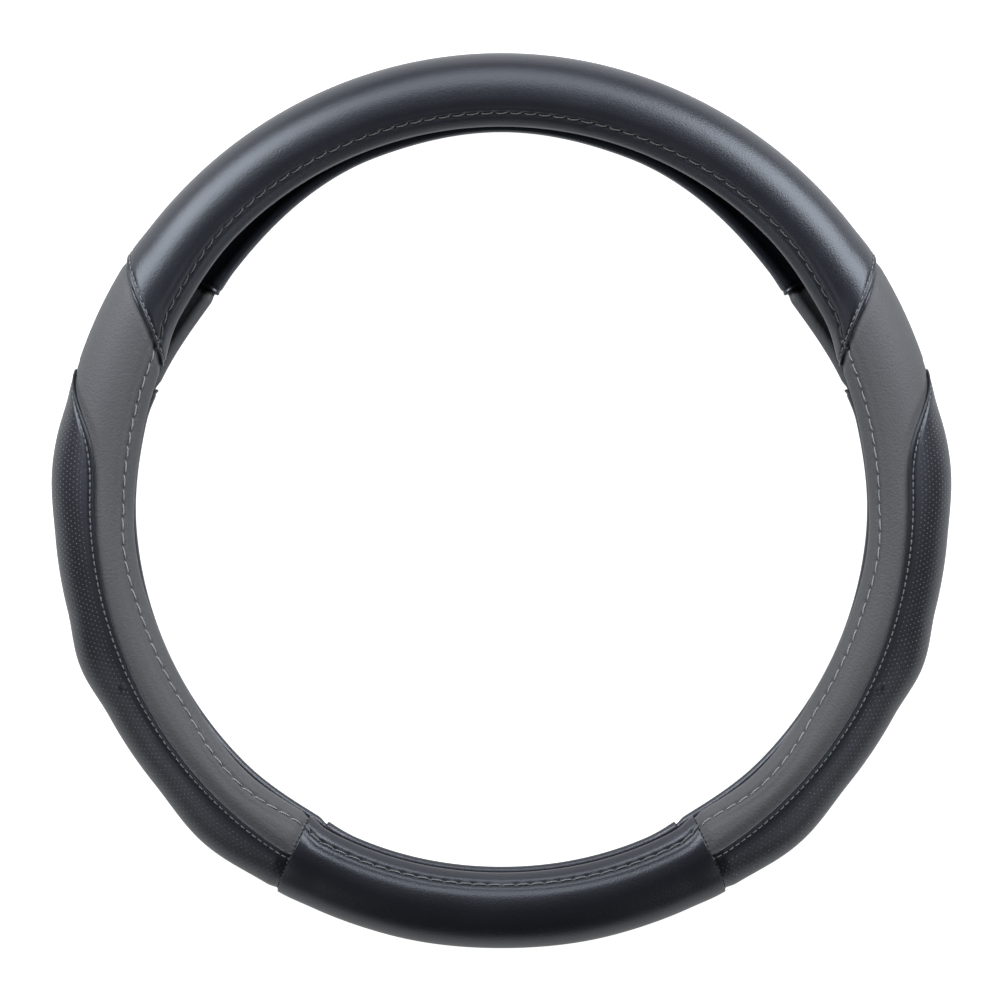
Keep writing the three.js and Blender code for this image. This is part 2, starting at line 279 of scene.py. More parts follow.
def seam_distances(along, angle):
    """How far inside the edges of the top, the grip and the bottom panel a place is"""
    a = np.abs(angle)
    top = (seam_angle(TOP_MARK, along) - a) * MM_ROUND
    bottom = (a - seam_angle(BOTTOM_MARK, along)) * MM_ROUND
    side = (a - seam_angle(SIDE_MARK, along)) * MM_ROUND
    return top, np.minimum(side, along - sweep_along(angle)), bottom


def grip_lift(along, angle):
    _, grip, bottom = seam_distances(along, angle)
    clear = 1 - smoothstep(bottom, -6, 0)
    return (lapped(grip) - dipped(grip)) * clear - sunk(bottom)


def top_lift(along, angle):
    top = seam_distances(along, angle)[0]
    return lapped(top) - dipped(top)


def bottom_lift(along, angle):
    return lapped(seam_distances(along, angle)[2])


def under_lift(along, angle):
    """The grey panels and the ring lie under the others at every seam"""
    return -np.max([sunk(distance) for distance in seam_distances(along, angle)], axis=0)


def cover_lift(along, angle):
    """Lift of whichever panel is uppermost at a place"""
    top, grip, bottom = seam_distances(along, angle)
    return np.select(
        [top >= 0, bottom >= 0, grip >= 0],
        [top_lift(along, angle), bottom_lift(along, angle), grip_lift(along, angle)],
        under_lift(along, angle))


def in_ring(out, height, angle):
    """A point in metres from its place in the section of the tube"""
    a = np.radians(angle)
    radius = RING_RADIUS + RING_EXTRA * np.cos(a) ** 4 + out
    up = np.maximum(height, -REST) + REST
    return np.stack((radius * np.sin(a), radius * np.cos(a), up), -1) / 1000


def place(along, angle, depth, turn=0, end=0):
    """A point so deep under the face, turned over a lip from the outside at 0 to the
    channel at 1. The end is -1 at the front lip and 1 at the back one."""
    g = np.radians(girth_at(along))
    arm = LIP / 2 - depth
    outside = np.where(np.asarray(turn) == 0, relief(along, angle), 0)
    radius = plain_radius(along, angle) - LIP / 2 + arm * np.cos(pi * turn) + outside
    past = end * arm * np.sin(pi * turn)
    out = -radius * np.cos(g) + past * np.sin(g)
    return in_ring(out, radius * np.sin(g) + past * np.cos(g), angle)


# Columns run round the ring: a length, then the shares of the front lip, the back lip and the
# long seam that it is counted from, and the turn over a lip.
def from_front(x, turn=0):
    return (x, 1, 0, 0, turn)


def from_back(x, turn=0):
    return (-x, 0, 1, 0, turn)


def from_sweep(x):
    return (x, 0, 0, 1, 0)


def between(a, b, cuts):
    return [tuple(c) for c in np.linspace(a, b, cuts + 1)[1:-1]]


FOLD_TURNS = np.linspace(0, 1, 8)[1:-1]
FLANGE = (0, 0.7, 1.7, 2.8, 3.9, 4.8, 5.4, 5.9, 6.35, 6.8, 7.25, 7.7, 8.3, 9.1, 9.8, 10.4,
          11, 11.8, 12.9)
HEM_PLACES = (TURN_IN, 5, 2, 0)
front_edge = ([from_front(x, 1) for x in HEM_PLACES]
              + [from_front(0, t) for t in FOLD_TURNS[::-1]]
              + [from_front(x) for x in FLANGE])
back_edge = ([from_back(x) for x in FLANGE[::-1]] + [from_back(0, t) for t in FOLD_TURNS]
             + [from_back(x, 1) for x in HEM_PLACES[::-1]])
whole_girth = front_edge + between(front_edge[-1], back_edge[0], GIRTH_COLUMNS) + back_edge

# Rows run across the tube: side, mark and millimetres past it
LAP_PLACES = (0, 0.35, 0.7, 1.1, 1.6, 2.1, 2.6, 3.1, 3.7, 4.4, 5.4, 6.4)


def row(mark, shift=0):
    return (1, mark, shift)


def rows_between(a, b, cuts):
    return [tuple(r) for r in np.linspace(a, b, cuts + 1)]


def mirrored(rows):
    return [(-side, mark, shift) for side, mark, shift in rows[::-1]]


def turns_of(columns):
    """How far each column is turned over a lip, and at which end"""
    table = np.array(columns, float)[None]
    return table[..., 4], np.sign(table[..., 2] - table[..., 1])


def row_angle(rows, along):
    side, mark, shift = np.moveaxis(rows, -1, 0)
    low = np.minimum(mark.astype(int), len(SEAMS) - 2)
    start, stop = seam_angle(low, along), seam_angle(low + 1, along)
    return side * (start + (stop - start) * (mark - low) + np.degrees(shift / RING_RADIUS))


def along_of(columns, angle):
    base, front, back, sweep, _ = np.moveaxis(columns, -1, 0)
    return (base + front * front_lip(angle)[0] + back * back_lip(angle)[0]
            + sweep * sweep_along(angle))


def surface_places(columns, rows, crop=None):
    """Place on the girth and angle of every corner. Columns with an index in crop stop at the
    last one before them, where they would run past it."""
    columns = np.array(columns, float)[None]
    rows = np.array(rows, float)[:, None]
    level = row_angle(rows, np.zeros(1))
    nominal = along_of(columns, np.array(90.0)) + columns[..., 3] * (
        sweep_along(level) - sweep_along(90))
    angle = row_angle(rows, nominal)
    along = along_of(columns, angle)
    past = np.zeros(along.shape, bool)
    if crop is not None:
        edge = crop[0] - 1
        past[:, crop] = (along - along_of(columns[:, edge:edge + 1], angle))[:, crop] < 0.9
        nominal = np.where(past, nominal[:, edge:edge + 1], nominal)
        angle = row_angle(rows, nominal)
        rest = along_of(columns, angle)
        along = np.where(past, along_of(columns[:, edge:edge + 1], angle), rest)
    return along, angle, past


def grid_mesh(columns, rows):
    bm = bmesh.new()
    bm.loops.layers.uv.new("map")
    bmesh.ops.create_grid(bm, x_segments=len(columns) - 1, y_segments=len(rows) - 1,
                          size=0.5, calc_uvs=True)
    bmesh.ops.reverse_faces(bm, faces=bm.faces[:])
    bm.verts.ensure_lookup_table()
    return bm


def move_to(bm, points):
    for vert, point in zip(bm.verts, points.reshape(-1, 3)):
        vert.co = point


def finished(bm, name, material, nodes=()):
    mesh = bpy.data.meshes.new(name)
    bm.to_mesh(mesh)
    bm.free()
    mesh.materials.append(material)
    for polygon in mesh.polygons:
        polygon.use_smooth = True
    piece = bpy.data.objects.new(name, mesh)
    bpy.context.scene.collection.objects.link(piece)
    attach(piece, "root")
    if nodes:
        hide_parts(*nodes)
    return piece


# Stitch rows
def row_path(name):
    """Places and angles along a row of stitches"""
    side = -1 if name.startswith("left") else 1
    inset = seam_inset() / MM_ROUND
    if name in ("front_lip", "back_lip"):
        angle = np.linspace(0, 360, 2881) + 1.1
        angle = np.where(angle > 180, angle - 360, angle)
        front, back = front_lip(angle)[0], back_lip(angle)[0]
        return (front + HEM if name == "front_lip" else back - HEM), angle
    front, back = front_lip(90)[0] + 1.2, back_lip(90)[0] - 1.2
    if "grip" in name:
        corner = SIDE_EDGE + inset
        behind = np.linspace(back, sweep_along(corner) + seam_inset(), 200)
        ahead = np.linspace(corner, BOTTOM_EDGE - 0.6, 800)
        along = np.concatenate((behind, sweep_along(ahead[1:]) + seam_inset()))
        angle = np.concatenate((seam_angle(SIDE_MARK, behind) + inset, ahead[1:]))
        return along, side * angle
    along = np.linspace(front, back, 500)
    if "top" in name:
        return along, side * (seam_angle(TOP_MARK, along) - inset)
    return along, side * (seam_angle(BOTTOM_MARK, along) + EDGE_SEAM / MM_ROUND)


def on_cover(along, angle, above=0):
    return place(along, angle, -above - cover_lift(along, angle))


def stitch_centres(name):
    """The path of a row, its run to each place, the middle of each stitch, and the pitch"""
    sizes = bpy.context.scene.cover_sizes
    along, angle = row_path(name)
    points = on_cover(along, angle) * 1000
    run = np.concatenate(([0], np.cumsum(np.linalg.norm(np.diff(points, axis=0), axis=1))))
    pitch = 1000 * (sizes.lip_pitch if "lip" in name else sizes.seam_pitch)
    pitch = EDGE_PITCH if "bottom" in name else pitch
    count = round(run[-1] / pitch)
    centres = (np.arange(count) + 0.5) * run[-1] / count
    return along, angle, run, centres, run[-1] / count


def nearest_of(points):
    tree = KDTree(len(points))
    for index, point in enumerate(points):
        tree.insert(point, index)
    tree.balance()
    return tree


def stitch_holes():
    """Points where the thread goes through, with how wide and deep it draws the face in"""
    holes = []
    for name in STITCH_ROWS:
        along, angle, run, centres, pitch = stitch_centres(name)
        at = centres + pitch / 2
        points = on_cover(np.interp(at, run, along), np.interp(at, run, angle))
        pull = LIP_PULL if "lip" in name else SEAM_PULL
        holes += [(Vector(point), pull) for point in points]
    return holes


def draw_in(bm, holes):
    tree = nearest_of([point for point, _ in holes])
    bm.normal_update()
    for vert in bm.verts:
        _, index, distance = tree.find(vert.co)
        wide, deep = holes[index][1]
        if distance < PULL_REACH * wide:
            vert.co -= vert.normal * deep * float(np.exp(-(distance / wide) ** 2))


def edge_mask(turn, along, angle):
    """1 on folded edges, which wear smooth, and 0 in the open"""
    lips = np.sin(pi * turn) + np.exp(-np.minimum(
        along - front_lip(angle)[0], back_lip(angle)[0] - along) / 1.2) * (turn == 0)
    seams = np.exp(-np.min(np.abs(seam_distances(along, angle)), axis=0) / 0.8)
    return np.clip(lips + seams * (turn == 0), 0, 1)


def laid_face(columns, rows, lift, keep=None, crop=None, holes=None):
    """The face of a panel as a bare sheet, with its folded edges and its holes marked"""
    along, angle, past = surface_places(columns, rows, crop)
    turn, end = turns_of(columns)
    bm = grid_mesh(columns, rows)
    mask = bm.verts.layers.float.new("edge")
    hole = bm.verts.layers.int.new("hole")
    move_to(bm, place(along, angle, -lift(along, angle), turn, end))
    for vert, value in zip(bm.verts, edge_mask(turn, along, angle).ravel()):
        vert[mask] = value
    if holes is not None:
        for vert, flag in zip(bm.verts, (holes & ~past).ravel()):
            vert[hole] = int(flag)
    if keep is not None:
        wide = len(columns) - 1
        gone = [f for i, f in enumerate(bm.faces) if not keep(i % wide, i // wide)]
        bmesh.ops.delete(bm, geom=gone, context="FACES")
    bmesh.ops.remove_doubles(bm, verts=bm.verts[:], dist=MERGE)
    draw_in(bm, stitch_holes())
    return bm


def thicken(bm):
    """Gives a face its thickness and rounds its folded edges, and returns the corners that
    have room for a hole"""
    hole = bm.verts.layers.int["hole"]
    outer = bm.verts[:]
    face = set(outer)
    bmesh.ops.solidify(bm, geom=bm.faces[:], thickness=SKIN / 1000)
    rims = [f for f in bm.faces if 0 < sum(v in face for v in f.verts) < len(f.verts)]
    edges = dict.fromkeys(
        e for f in rims for e in f.edges if len({v in face for v in e.verts}) == 1)
    roomy = [v for v in outer
             if v[hole] and min(e.calc_length() for e in v.link_edges) > HOLE_ROOM]
    bmesh.ops.bevel(bm, geom=list(edges), offset=bpy.context.scene.cover_sizes.fold_round,
                    offset_type="OFFSET", segments=3, profile=0.5, affect="EDGES", material=-1)
    return [v for v in roomy if v.is_valid]


def panel(name, face, material):
    """Makes a panel from its face and lays it on the ring"""
    corners = thicken(face)
    if corners:
        punch(face, corners)
    piece = finished(face, name.replace("panel", "leatherette"), material, [name])
    if corners:
        piece.data.materials.append(backing_material())


def punch(bm, verts):
    """Punches small round pits: octagons round the corners, with their middles sunk"""
    sizes = bpy.context.scene.cover_sizes
    bmesh.ops.connect_verts(bm, verts=verts)
    made = bmesh.ops.bevel(bm, geom=verts, offset=sizes.hole_radius, offset_type="OFFSET",
                           segments=1, profile=0.5, affect="VERTICES", material=-1)
    pits = [f for f in made["faces"] if len(f.verts) >= 6]
    for edge in {e for f in pits for e in f.edges}:
        edge.smooth = False
    sunk_faces = bmesh.ops.poke(bm, faces=pits, offset=-sizes.hole_depth,
                                center_mode="MEAN_WEIGHTED", use_relative_offset=False)
    for face in sunk_faces["faces"]:
        face.material_index = 1


def unit(vectors):
    return vectors / np.linalg.norm(vectors, axis=-1, keepdims=True)


def sewn_row(name):
    """The corners of each stitch of a row, its colour of thread, and the place of its middle.
    The colours are 0 for the row's own, 1 on the grey and 2 on the bottom panel's lips, where the
    lighter thread of the seams is a painted highlight."""
    along, angle, run, centres, pitch = stitch_centres(name)
    is_lip = "lip" in name
    thread = bpy.context.scene.cover_sizes.thread * 1000 * (LIP_THREAD if is_lip else SEAM_THREAD)
    share = LIP_SHARE if is_lip else EDGE_SHARE if "bottom" in name else SEAM_SHARE
    t = np.linspace(-1, 1, THREAD_STEPS + 1)
    at = centres[:, None] + t[None] * pitch * share
    x, a = np.interp(at, run, along), np.interp(at, run, angle)
    centre_along = np.interp(centres, run, along)
    top, grip, bottom = seam_distances(centre_along, np.interp(centres, run, np.abs(angle)))
    grey = (top < 0) & (bottom < 0) & (grip < 0) & ("bottom" not in name)
    if is_lip:
        inward = -1 if name == "front_lip" else 1
        sag = np.where((grey | (bottom > 0))[:, None], TIGHT_SAG, SAG)
        slant = np.where(bottom[:, None] > 0, TIGHT_SLANT, SLANT)
        x = x + inward * (sag * (0.5 - t ** 2)[None] - slant * t[None])
    arch = thread * (ARCH - DIVE * np.abs(t) ** 4)[None]
    middle = on_cover(x, a, arch)
    up = unit(on_cover(x, a, arch + 0.5) - middle)
    across = unit(np.cross(unit(np.gradient(middle, axis=1)), up))
    radius = thread / 1000 * np.sqrt(np.clip(1 - np.abs(t) ** 8, 0, 1))[None, :, None, None]
    v = np.linspace(0, 2 * pi, THREAD_SIDES + 1)[None, None, :, None]
    points = middle[:, :, None] + radius * (
        np.cos(v) * across[:, :, None] + THREAD_FLAT * np.sin(v) * up[:, :, None])
    points[..., 2] = np.maximum(points[..., 2], 0)
    # The lips on the bottom panel (2) get the lighter thread of the seams as a painted highlight
    shade = np.where(grey, 1, np.where((bottom > 0) & is_lip, 2, 0))
    return points, shade, on_cover(centre_along, np.interp(centres, run, angle))


def thread_mesh(points):
    """One long grid round all the stitches of a row, cut apart between them"""
    sides, steps = THREAD_SIDES, THREAD_STEPS
    bm = bmesh.new()
    bm.loops.layers.uv.new("map")
    bmesh.ops.create_grid(bm, x_segments=sides, y_segments=len(points) * (steps + 1) - 1,
                          size=0.5)
    gone = [f for i, f in enumerate(bm.faces) if i // sides % (steps + 1) == steps]
    map_layer = bm.loops.layers.uv["map"]
    for i, face in enumerate(bm.faces):
        low = i // sides % (steps + 1)
        for corner, (du, dv) in zip(face.loops, ((0, 0), (1, 0), (1, 1), (0, 1))):
            corner[map_layer].uv = ((i % sides + du) / sides, (low + dv) / steps)
    bm.verts.ensure_lookup_table()
    move_to(bm, points)
    bmesh.ops.delete(bm, geom=gone, context="FACES")
    bmesh.ops.remove_doubles(bm, verts=bm.verts[:], dist=MERGE / 2)
    bmesh.ops.recalc_face_normals(bm, faces=bm.faces[:])
    return bm


# Materials
def set_inputs(tree, node, inputs):
    for key, value in inputs.items():
        if isinstance(value, bpy.types.NodeSocket):
            tree.links.new(value, node.inputs[key])
        else:
            node.inputs[key].default_value = value


def new_node(tree, kind, inputs=None, **settings):
    node = tree.nodes.new(kind)
    for key, value in settings.items():
        setattr(node, key, value)
    set_inputs(tree, node, inputs or {})
    return node


def new_group(name, inputs, outputs):
    tree = bpy.data.node_groups.new(name, "ShaderNodeTree")
    for label, kind, default in inputs:
        socket = tree.interface.new_socket(label, in_out="INPUT", socket_type=kind)
        if default is not None:
            socket.default_value = default
    for label, kind in outputs:
        tree.interface.new_socket(label, in_out="OUTPUT", socket_type=kind)
    return tree, tree.nodes.new("NodeGroupInput"), tree.nodes.new("NodeGroupOutput")


def maths(tree, operation, a, b=0.0, c=0.0):
    return new_node(tree, "ShaderNodeMath", {0: a, 1: b, 2: c}, operation=operation).outputs[0]


def mixed(tree, factor, a, b):
    return new_node(tree, "ShaderNodeMix", {0: factor, 6: a, 7: b}, data_type="RGBA").outputs[2]


def grain_group():
    """Pebble grain of leatherette: rounded cells of two sizes with fine pores between"""
    tree, given, out = new_group(
        "leatherette_grain",
        (("Vector", "NodeSocketVector", None), ("Size", "NodeSocketFloat", 1000.0),
         ("Unevenness", "NodeSocketFloat", 0.5)),
        (("Height", "NodeSocketFloat"), ("Tone", "NodeSocketFloat")))
    vector, size = given.outputs["Vector"], given.outputs["Size"]
    warp = new_node(tree, "ShaderNodeTexNoise",
                    {"Vector": vector, "Scale": maths(tree, "MULTIPLY", size, 0.4), "Detail": 2.0})
    moved = new_node(tree, "ShaderNodeVectorMath",
                     {0: warp.outputs["Color"], 1: (0.0006, 0.0006, 0.0006)},
                     operation="MULTIPLY")
    bent = new_node(tree, "ShaderNodeVectorMath", {0: vector, 1: moved.outputs[0]},
                    operation="ADD")
    cells = new_node(tree, "ShaderNodeTexVoronoi",
                     {"Vector": bent.outputs[0], "Scale": size, "Smoothness": 0.6},
                     feature="SMOOTH_F1")
    pebble = maths(tree, "SUBTRACT", 1.0, cells.outputs["Distance"])
    fine = new_node(tree, "ShaderNodeTexNoise",
                    {"Vector": vector, "Scale": maths(tree, "MULTIPLY", size, 1.3),
                     "Detail": 1.0, "Roughness": 0.5})
    broad = new_node(tree, "ShaderNodeTexNoise",
                     {"Vector": vector, "Scale": maths(tree, "MULTIPLY", size, 0.03),
                      "Detail": 3.0, "Roughness": 0.5})
    uneven = maths(tree, "MULTIPLY", fine.outputs["Fac"], given.outputs["Unevenness"])
    tree.links.new(maths(tree, "ADD", pebble, uneven), out.inputs["Height"])
    tree.links.new(broad.outputs["Fac"], out.inputs["Tone"])
    return tree


def wear_group():
    """Folded edges rubbed smooth, in an uneven band"""
    tree, given, out = new_group(
        "edge_wear", (("Vector", "NodeSocketVector", None), ("Edge", "NodeSocketFloat", 0.0),
                      ("Amount", "NodeSocketFloat", 0.5)),
        (("Mask", "NodeSocketFloat"),))
    patchy = new_node(tree, "ShaderNodeTexNoise",
                      {"Vector": given.outputs["Vector"], "Scale": 160.0, "Detail": 4.0})
    uneven = maths(tree, "MULTIPLY_ADD", patchy.outputs["Fac"], 0.8, 0.55)
    worn = maths(tree, "MULTIPLY", maths(tree, "POWER", given.outputs["Edge"], 1.6), uneven)
    masked = new_node(tree, "ShaderNodeClamp",
                      {0: maths(tree, "MULTIPLY", worn, given.outputs["Amount"])})
    tree.links.new(masked.outputs[0], out.inputs["Mask"])
    return tree


def twist_group():
    """The strands of a twisted thread, slanting round it, with a painted shade in the grooves
    between them
    """
    tree, given, out = new_group(
        "thread_twist", (("Vector", "NodeSocketVector", None), ("Turns", "NodeSocketFloat", 7.0)),
        (("Height", "NodeSocketFloat"), ("Shade", "NodeSocketFloat")))
    parts = new_node(tree, "ShaderNodeSeparateXYZ", {0: given.outputs["Vector"]})
    run = maths(tree, "MULTIPLY", parts.outputs["Y"], given.outputs["Turns"])
    slant = maths(tree, "ADD", run, maths(tree, "MULTIPLY", parts.outputs["X"], 2.0))
    wave = maths(tree, "SINE", maths(tree, "MULTIPLY", slant, 2 * pi))
    height = maths(tree, "MULTIPLY_ADD", wave, 0.5, 0.5)
    fluff = new_node(tree, "ShaderNodeTexNoise",
                     {"Vector": given.outputs["Vector"], "Scale": 60.0, "Detail": 3.0})
    tree.links.new(maths(tree, "MULTIPLY_ADD", fluff.outputs["Fac"], 0.35, height),
                   out.inputs["Height"])
    tree.links.new(maths(tree, "POWER", height, 0.7), out.inputs["Shade"])
    return tree


GROUP_MAKERS = {"leatherette_grain": grain_group, "edge_wear": wear_group,
                "thread_twist": twist_group}
GROUPS = {}


def placed_group(tree, name, inputs):
    if name not in GROUPS:
        GROUPS[name] = GROUP_MAKERS[name]()
    node = tree.nodes.new("ShaderNodeGroup")
    node.node_tree = GROUPS[name]
    set_inputs(tree, node, inputs)
    return node.outputs


def rgba(colour, share=1.0):
    return tuple(channel * share for channel in colour) + (1.0,)


def new_material(name):
    material = bpy.data.materials.new(name)
    material.use_nodes = True
    tree = material.node_tree
    return material, tree, tree.nodes["Principled BSDF"]


def leatherette(name, colour, rough, size, depth, specular, tint):
    """Grained and worn leatherette, with the size and depth of its grain in millimetres"""
    made = bpy.data.materials.get(name)
    if made:
        return made
    material, tree, shader = new_material(name)
    where = tree.nodes.new("ShaderNodeTexCoord").outputs["Object"]
    grain = placed_group(tree, "leatherette_grain",
                         {"Vector": where, "Size": 1000.0 / size, "Unevenness": 0.3})
    edge = new_node(tree, "ShaderNodeAttribute", attribute_name="edge")
    wear = placed_group(tree, "edge_wear",
                        {"Vector": where, "Edge": edge.outputs["Fac"], "Amount": 0.6})
    patches = mixed(tree, grain["Tone"], rgba(colour, 0.9), rgba(colour, 1.1))
    pores = mixed(tree, maths(tree, "MULTIPLY", grain["Height"], 0.35), rgba(colour, 0.82),
                  patches)
    tone = mixed(tree, 0.7, patches, pores)
    tree.links.new(mixed(tree, wear["Mask"], tone, rgba(colour, 1.3)),
                   shader.inputs["Base Color"])
    uneven = maths(tree, "MULTIPLY_ADD", grain["Tone"], 0.1, rough - 0.05)
    tree.links.new(maths(tree, "MULTIPLY_ADD", wear["Mask"], -0.1, uneven),
                   shader.inputs["Roughness"])
    relief_bump = new_node(tree, "ShaderNodeBump",
                           {"Height": grain["Height"], "Distance": depth / 1000, "Strength": 1.0})
    tree.links.new(relief_bump.outputs["Normal"], shader.inputs["Normal"])
    shader.inputs["Specular IOR Level"].default_value = specular
    shader.inputs["Specular Tint"].default_value = rgba(tint)
    return material


def rubber_material():
    material, tree, shader = new_material("rubber_looks")
    colour = bpy.context.scene.cover_colours.rubber
    where = tree.nodes.new("ShaderNodeTexCoord").outputs["Object"]
    grain = placed_group(tree, "leatherette_grain",
                         {"Vector": where, "Size": 2600.0, "Unevenness": 1.0})
    tree.links.new(mixed(tree, grain["Tone"], rgba(colour, 0.7), rgba(colour, 1.3)),
                   shader.inputs["Base Color"])
    tree.links.new(maths(tree, "MULTIPLY_ADD", grain["Tone"], 0.16, 0.66),
                   shader.inputs["Roughness"])
    rough = new_node(tree, "ShaderNodeBump",
                     {"Height": grain["Height"], "Distance": 0.00004, "Strength": 1.0})
    tree.links.new(rough.outputs["Normal"], shader.inputs["Normal"])
    return material


def backing_material():
    """The pale backing cloth that shows in the holes"""
    made = bpy.data.materials.get("backing_cloth_looks")
    if made:
        return made
    material, tree, shader = new_material("backing_cloth_looks")
    where = tree.nodes.new("ShaderNodeTexCoord").outputs["Object"]
    knit = new_node(tree, "ShaderNodeTexNoise", {"Vector": where, "Scale": 1400.0, "Detail": 2.0})
    colour = bpy.context.scene.cover_colours.backing
    tree.links.new(mixed(tree, knit.outputs["Fac"], rgba(colour, 0.3), rgba(colour, 1.5)),
                   shader.inputs["Base Color"])
    shader.inputs["Roughness"].default_value = 0.85
    return material


def thread_material(name, colour):
    material, tree, shader = new_material(name)
    map_place = new_node(tree, "ShaderNodeUVMap", uv_map="map").outputs["UV"]
    twist = placed_group(tree, "thread_twist", {"Vector": map_place, "Turns": 6.0})
    # Painted shade: the thread's colour darkens in the grooves between its strands
    tree.links.new(mixed(tree, twist["Shade"], rgba(colour, 0.35), rgba(colour, 1.15)),
                   shader.inputs["Base Color"])
    strands = new_node(tree, "ShaderNodeBump",
                       {"Height": twist["Height"], "Distance": 0.00012, "Strength": 1.0})
    tree.links.new(strands.outputs["Normal"], shader.inputs["Normal"])
    shader.inputs["Roughness"].default_value = 0.62
    shader.inputs["Sheen Weight"].default_value = 0.25
    return material


def black_material():
    colours = bpy.context.scene.cover_colours
    return leatherette("smooth_black_looks", colours.black, 0.39, 0.75, 0.055, 0.68,
                       COOL_SHEEN)


def grip_material():
    colours = bpy.context.scene.cover_colours
    return leatherette("perforated_black_looks", colours.grip, 0.4, 0.75, 0.045, 0.65,
                       COOL_SHEEN)


def grey_material():
    colours = bpy.context.scene.cover_colours
    return leatherette("pebbled_grey_looks", colours.grey, 0.6, 1.0, 0.15, 0.25,
                       (1.0, 1.0, 1.0))


# Properties
def metres(name, description, default):
    return FloatProperty(name=name, description=description, default=default, unit="LENGTH",
                         precision=5)


def swatch(name, description, default):
    return FloatVectorProperty(name=name, description=description, default=default,
                               subtype="COLOR", min=0, max=1)


class CoverSizes(PropertyGroup):
    lip_pitch: metres("Lip stitch pitch", "From one long stitch at the lips to the next", 0.0062)
    seam_pitch: metres("Seam stitch pitch", "From one stitch of a seam to the next", 0.0031)
    seam_inset: metres("Seam inset", "From a folded edge to its row of stitches", 0.0023)
    thread: metres("Thread", "Radius of the sewing thread", 0.0003)
    hole_radius: metres("Hole radius", "Radius of a hole of the perforation", 0.0003)
    hole_depth: metres("Hole depth", "Depth of a hole of the perforation", 0.0007)
    fold_round: metres("Fold rounding", "Rounding of the folded edges", 0.00042)
    crease: metres("Crease depth", "Depth of the soft crease past the stitches", 0.0003)


class CoverColours(PropertyGroup):
    black: swatch("Black", "Smooth black leatherette", (0.0075, 0.0081, 0.0115))
    grip: swatch("Grip", "Perforated black leatherette", (0.0075, 0.0081, 0.0115))
    grey: swatch("Grey", "Grey leatherette", (0.08, 0.0812, 0.086))
    rubber: swatch("Rubber", "Moulded rubber", (0.008, 0.008, 0.009))
    backing: swatch("Backing", "Backing cloth seen in the holes", (0.21, 0.22, 0.24))
    dark_thread: swatch("Thread on black", "Sewing thread on the black panels",
                        (0.04, 0.048, 0.045))
    # The thread of the seams is partly its own colour and partly a painted glint, so it is lighter
    # than the thread on black
    seam_thread_and_glint: swatch("Thread of the seams", "Sewing thread along the folded edges",
                        (0.16, 0.18, 0.175))
    light_thread: swatch("Thread on grey", "Sewing thread on the grey panels",
                         (0.3, 0.31, 0.32))
    floor: swatch("Floor", "Lit white floor under the cover", (0.42, 0.42, 0.42))


# Pieces
class COVER_OT_ring(Operator):
    """Moulds the rubber ring with its ribbed channel"""
    bl_idname = "cover.ring"
    bl_label = "Moulded Ring"

    def execute(self, context):
        turns = FOLD_TURNS[::-1]
        columns = ([from_front(0, t) for t in turns] + [from_front(x) for x in (0, 3, 5, 6.8, 8.6)]
                   + between(from_front(8.6), from_back(8.6), OUTSIDE_COLUMNS)
                   + [from_back(x) for x in (8.6, 6.8, 5, 3, 0)]
                   + [from_back(0, t) for t in FOLD_TURNS] + [from_back(0, 1)]
                   + between(from_back(0, 1), from_front(0, 1), CHANNEL_COLUMNS)
                   + [from_front(0, 1)])
        columns.append(columns[0])
        half = [row(0)]
        for mark, cuts in enumerate(RING_ROWS):
            half += rows_between(row(mark), row(mark + 1), cuts)[1:]
        rows = mirrored(half) + half[1:]
        along, angle, _ = surface_places(columns, rows)
        turn, end = turns_of(columns)
        ribs = 0.5 + 0.5 * np.cos(2 * pi * (girth_at(along) - 180) / RIB_PITCH)
        inside = (turn == 1) & (np.abs(girth_at(along) - 180) < RIB_REACH)
        depth = STEP - RIB_HEIGHT * ribs ** 1.5 * inside
        depth -= under_lift(along, angle) * (turn == 0)
        bm = grid_mesh(columns, rows)
        move_to(bm, place(along, angle, depth, turn, end))
        bmesh.ops.remove_doubles(bm, verts=bm.verts[:], dist=MERGE)
        finished(bm, "rubber_ring", rubber_material(), ["moulded_ring"])
        return {"FINISHED"}


class COVER_OT_black_panels(Operator):
    """Lays the smooth black panels over the top and the bottom of the ring"""
    bl_idname = "cover.black_panels"
    bl_label = "Black Panels"

    def execute(self, context):
        lap = [row(TOP_MARK, -x) for x in LAP_PLACES[::-1]]
        half = rows_between(row(0), row(TOP_MARK, -RUN), TOP_ROWS) + lap
        top = laid_face(whole_girth, mirrored(half) + half[1:], top_lift)
        panel("top_panel", top, black_material())
        lap = [row(BOTTOM_MARK, x) for x in LAP_PLACES]
        half = lap + rows_between(row(BOTTOM_MARK, RUN), row(BOTTOM_MARK + 1), BOTTOM_ROWS)
        bottom = laid_face(whole_girth, half + mirrored(half)[1:], bottom_lift)
        panel("bottom_panel", bottom, black_material())
        return {"FINISHED"}


class COVER_OT_grey_panels(Operator):
    """Lays the grey panels, each right round at the shoulder and then a strip on the face"""
    bl_idname = "cover.grey_panels"
    bl_label = "Grey Panels"

    def execute(self, context):
        front = front_edge + between(front_edge[-1], from_sweep(LAP), GREY_COLUMNS)
        behind = between(from_sweep(LAP), back_edge[0], GREY_COLUMNS) + back_edge
        columns = front + [from_sweep(LAP)] + behind
        shoulder = rows_between(row(TOP_MARK, -LAP), row(SIDE_MARK), SHOULDER_ROWS)
        shoulder.append(row(SIDE_MARK, LAP))
        strip = rows_between(row(SIDE_MARK, LAP), row(BOTTOM_MARK, LAP), STRIP_ROWS)[1:]
        rows = shoulder + strip

        def right_cells(column, cell):
            return column < len(front) or cell < len(shoulder) - 1

        def left_cells(column, cell):
            return column < len(front) or cell >= len(strip)

        left = laid_face(columns, mirrored(rows), under_lift, keep=left_cells)
        right = laid_face(columns, rows, under_lift, keep=right_cells)
        panel("left_grey_panel", left, grey_material())
        panel("right_grey_panel", right, grey_material())
        return {"FINISHED"}


